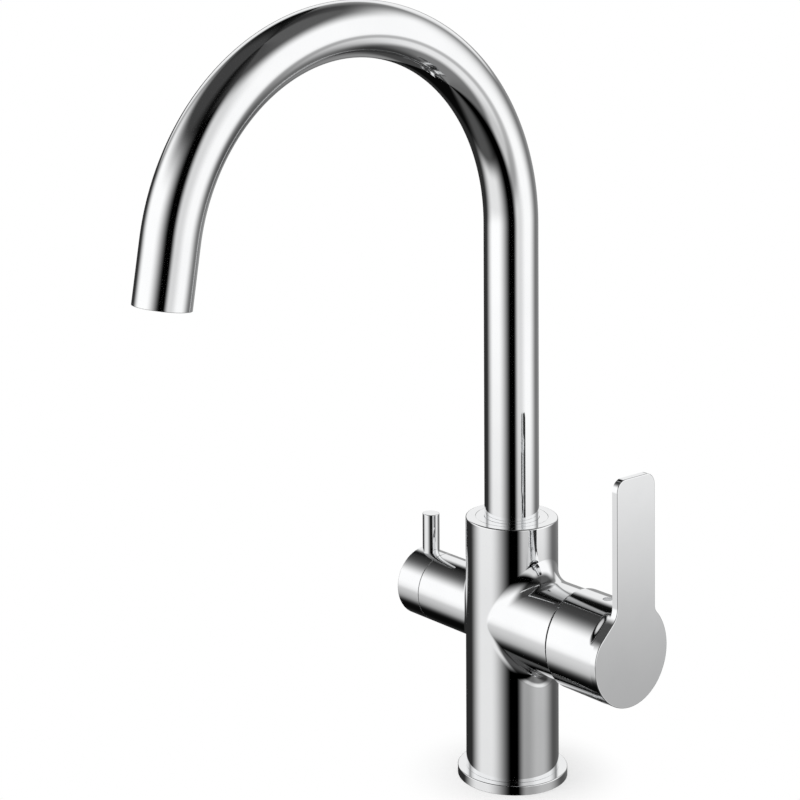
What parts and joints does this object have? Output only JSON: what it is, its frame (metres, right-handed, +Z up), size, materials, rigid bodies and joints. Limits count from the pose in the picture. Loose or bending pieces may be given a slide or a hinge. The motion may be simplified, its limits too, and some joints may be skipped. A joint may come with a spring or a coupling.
{
  "type": "three way filtered water tap",
  "caption": "Chrome kitchen tap with a J-shaped swivel spout, a flat side lever for mixed water and a small quarter-turn knob with a pin for filtered water.",
  "frame": {"origin": "centre of the foot on the sink top, at the mouth of the recess under the column", "axes": "+Z up along the column, -Y forward along the spout, +X to the mixer lever, -X to the filter knob"},
  "size_m": [0.1535, 0.2581, 0.403],
  "materials": {
    "chrome": "polished chrome plate",
    "brass": "turned brass",
    "steel": "stainless steel, turned",
    "rubber": "matt black rubber",
    "ceramic": "lapped white alumina",
    "grey_plastic": "moulded acetal",
    "white_plastic": "moulded acetal",
    "pipe_plastic": "drawn polyethylene pipe",
    "plug_plastic": "bright silver plastic"
  },
  "bodies": {
    "tap_body": {"tap_body": "chrome", "base_flange": "chrome", "base_seal": "rubber", "spout_collar": "chrome", "lower_glide_ring": "white_plastic", "upper_glide_ring": "white_plastic", "filter_riser": "brass", "cartridge_base": "grey_plastic", "port_seals": "rubber", "fixed_mixer_disc": "ceramic", "cartridge_housing": "grey_plastic", "cartridge_nut": "brass", "dome_cover": "chrome", "headwork_body": "brass", "seat_seal": "rubber", "headwork_o_ring": "rubber", "fixed_filter_disc": "ceramic"},
    "spout": {"spout_tube": "chrome", "spout_foot": "brass", "foot_o_rings": "rubber", "riser_o_ring": "rubber", "inner_filter_pipe": "pipe_plastic", "aerator_ring": "brass", "outlet_washer": "rubber", "aerator_insert": "white_plastic", "filtered_nozzle": "white_plastic"},
    "turning_guide": {"turning_guide": "grey_plastic", "hinge_pin": "steel"},
    "disc_slider": {"disc_slider": "grey_plastic", "moving_mixer_disc": "ceramic"},
    "lever": {"lever_handle": "chrome", "lever_stem": "brass", "lever_grub_screw": "steel", "index_plug": "plug_plastic"},
    "filter_knob": {"filter_knob": "chrome", "knob_pin": "chrome", "knob_grub_screw": "steel", "filter_spindle": "brass", "turning_filter_disc": "ceramic", "spindle_o_ring": "rubber", "spindle_clip": "steel"}
  },
  "joints": [
    {"name": "spout_swivel", "type": "hinge", "parent": "tap_body", "child": "spout", "pos_m": [0, 0, 0.126], "axis": [0, 0, 1], "continuous": true},
    {"name": "lever_temperature", "type": "hinge", "parent": "tap_body", "child": "turning_guide", "pos_m": [0.0435, 0, 0.083], "axis": [1, 0, 0], "range_deg": [-50, 50]},
    {"name": "lever_flow", "type": "hinge", "parent": "turning_guide", "child": "lever", "pos_m": [0.0435, 0, 0.083], "axis": [0, 1, 0], "range_deg": [0, 25]},
    {"name": "disc_travel", "type": "slide", "parent": "turning_guide", "child": "disc_slider", "axis": [0, 0, 1], "range_m": [0, 0.0043]},
    {"name": "filter_turn", "type": "hinge", "parent": "tap_body", "child": "filter_knob", "pos_m": [-0.0624, 0, 0.0815], "axis": [1, 0, 0], "range_deg": [0, 90]}
  ],
  "couplings": [
    {"joint": "disc_travel", "follows": "lever_flow", "m_per_rad": 0.009686}
  ]
}
